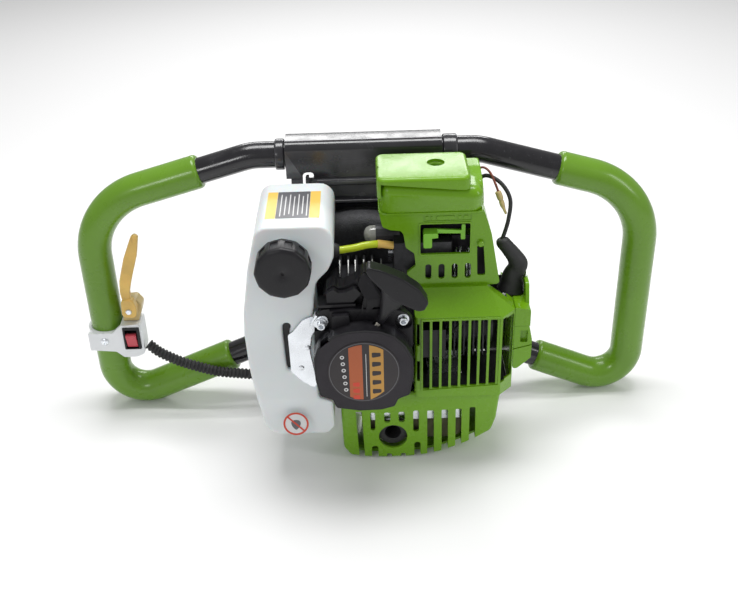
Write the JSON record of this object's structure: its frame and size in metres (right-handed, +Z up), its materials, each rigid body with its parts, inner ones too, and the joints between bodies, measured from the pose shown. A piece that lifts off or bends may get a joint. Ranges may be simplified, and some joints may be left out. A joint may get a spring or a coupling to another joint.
{
  "type": "ice fishing auger",
  "caption": "Two-stroke powerhead of an ice auger on a tubular two-loop handle frame: cowled engine, side fuel tank, recoil starter, hand throttle, reduction gearbox and drive shaft.",
  "frame": {"origin": "middle of the underside of the whole part, on the surface that its two handle loops and muffler guard rest on", "axes": "+X from the tank side towards the spark plug, along the cylinder; -Y the recoil starter side; +Y the way the drive shaft points; +Z up as the part lies"},
  "size_m": [0.5809, 0.281, 0.2962],
  "materials": {
    "loop_black": "gloss black enamel",
    "grip_green": "glossy soft vinyl",
    "cast_black": "rough black painted aluminium casting",
    "case_black": "satin black moulding",
    "cowl_green": "glossy lime green moulding",
    "bare_metal": "bare casting",
    "shaft_steel": "ground steel",
    "zinc": "bright zinc plate",
    "tank_white": "translucent white polyethylene",
    "rubber_black": "matt rubber",
    "badge": null,
    "white_plastic": "white moulding",
    "rocker_red": "red moulding",
    "lever_tan": "ochre moulding",
    "hose_clear": "clear yellow-green hose",
    "bulb_clear": "milky clear bulb",
    "wire_brown": "wire insulation",
    "rope": "braided cord",
    "pulley_nylon": "natural nylon",
    "foam": "open foam"
  },
  "bodies": {
    "powerhead": {"handle_loop_left": "loop_black", "grip_left": "grip_green", "handle_loop_right": "loop_black", "grip_right": "grip_green", "saddle_plate": "loop_black", "mounting_plate": "loop_black", "clutch_housing": "cast_black", "crankcase": "cast_black", "fan_shroud": "cast_black", "cylinder": "bare_metal", "spark_plug": "shaft_steel", "plug_boot": "rubber_black", "ignition_coil": "case_black", "ignition_lead": "rubber_black", "kill_wire": "wire_brown", "starter_cover": "case_black", "starter_badge": "badge", "starter_housing": "case_black", "recoil_spring": "shaft_steel", "starter_screw_left": "zinc", "starter_screw_right": "zinc", "fuel_tank": "tank_white", "tank_grommet": "rubber_black", "fuel_hose": "hose_clear", "tank_bracket": "zinc", "intake_block": "case_black", "carburettor": "bare_metal", "airbox_base": "cowl_green", "airbox_cover": "cowl_green", "air_filter": "foam", "airbox_top": "cowl_green", "cylinder_cowl": "cowl_green", "cowl_side_vent": "cowl_green", "muffler": "zinc", "muffler_guard": "cowl_green", "gearbox_body": "cast_black", "gearbox_cover": "cast_black", "output_bearing": "shaft_steel", "switch_bracket": "white_plastic", "switch_body": "case_black", "throttle_mount": "lever_tan", "conduit": "rubber_black"},
    "throttle_lever": {"throttle_lever": "lever_tan"},
    "throttle_arm": {"throttle_arm": "zinc"},
    "rocker": {"rocker": "rocker_red"},
    "pull_handle": {"starter_handle": "case_black", "starter_rope": "rope"},
    "recoil_pulley": {"recoil_pulley": "pulley_nylon"},
    "choke_lever": {"choke_lever": "cowl_green"},
    "cap_lift": {"cap_seal": "rubber_black"},
    "fuel_cap": {"fuel_cap": "case_black"},
    "primer_bulb": {"primer_bulb": "bulb_clear"},
    "crankshaft": {"crankshaft": "shaft_steel", "flywheel_fan": "bare_metal"},
    "clutch_drum": {"clutch_drum": "shaft_steel"},
    "countershaft": {"countershaft": "shaft_steel"},
    "output_shaft": {"output_shaft": "shaft_steel"},
    "piston": {"piston": "bare_metal"}
  },
  "joints": [
    {"name": "throttle_squeeze", "type": "hinge", "parent": "powerhead", "child": "throttle_lever", "pos_m": [-0.24155, 0.01, 0.12138], "axis": [0, 1, 0], "range_deg": [-18, 0], "stiffness_Nm_per_rad": 0.4},
    {"name": "carburettor_throttle", "type": "hinge", "parent": "powerhead", "child": "throttle_arm", "pos_m": [0.02295, -0.0255, 0.19938], "axis": [1, 0, 0], "range_deg": [-1, 58]},
    {"name": "stop_switch", "type": "hinge", "parent": "powerhead", "child": "rocker", "pos_m": [-0.24355, 0.0055, 0.08838], "axis": [1, 0, 0], "range_deg": [-16, 0]},
    {"name": "starter_pull", "type": "slide", "parent": "powerhead", "child": "pull_handle", "axis": [0.4374, -0.3025, 0.8469], "range_m": [0, 0.55], "stiffness_N_per_m": 12},
    {"name": "recoil_pulley_turn", "type": "hinge", "parent": "powerhead", "child": "recoil_pulley", "pos_m": [-0.00455, 0, 0.13538], "axis": [0, 1, 0], "range_deg": [0, 1126]},
    {"name": "choke_slide", "type": "slide", "parent": "powerhead", "child": "choke_lever", "axis": [1, 0, 0], "range_m": [0, 0.016]},
    {"name": "cap_turn", "type": "hinge", "parent": "cap_lift", "child": "fuel_cap", "pos_m": [-0.07155, -0.1185, 0.23288], "axis": [0, 1, 0], "range_deg": [0, 720]},
    {"name": "cap_lift", "type": "slide", "parent": "powerhead", "child": "cap_lift", "axis": [0, -1, 0], "range_m": [0, 0.0081]},
    {"name": "primer_press", "type": "slide", "parent": "powerhead", "child": "primer_bulb", "axis": [1, 0, 0], "range_m": [0, 0.004], "stiffness_N_per_m": 300},
    {"name": "crank_turn", "type": "hinge", "parent": "powerhead", "child": "crankshaft", "pos_m": [-0.00455, 0, 0.13538], "axis": [0, 1, 0], "continuous": true},
    {"name": "piston_stroke", "type": "slide", "parent": "powerhead", "child": "piston", "axis": [1, 0, 0], "range_m": [-0.034, 0]},
    {"name": "drum_turn", "type": "hinge", "parent": "powerhead", "child": "clutch_drum", "pos_m": [-0.00455, 0, 0.13538], "axis": [0, 1, 0], "continuous": true},
    {"name": "countershaft_turn", "type": "hinge", "parent": "powerhead", "child": "countershaft", "pos_m": [0.02545, 0, 0.13538], "axis": [0, 1, 0], "continuous": true},
    {"name": "output_turn", "type": "hinge", "parent": "powerhead", "child": "output_shaft", "pos_m": [-0.00455, 0, 0.13538], "axis": [0, 1, 0], "continuous": true}
  ],
  "couplings": [
    {"joint": "carburettor_throttle", "follows": "throttle_squeeze", "ratio": -3},
    {"joint": "recoil_pulley_turn", "follows": "starter_pull", "rad_per_m": 35.714},
    {"joint": "cap_lift", "follows": "cap_turn", "m_per_rad": 0.00063662},
    {"joint": "countershaft_turn", "follows": "drum_turn", "ratio": -0.18182},
    {"joint": "output_turn", "follows": "drum_turn", "ratio": 0.033058}
  ]
}
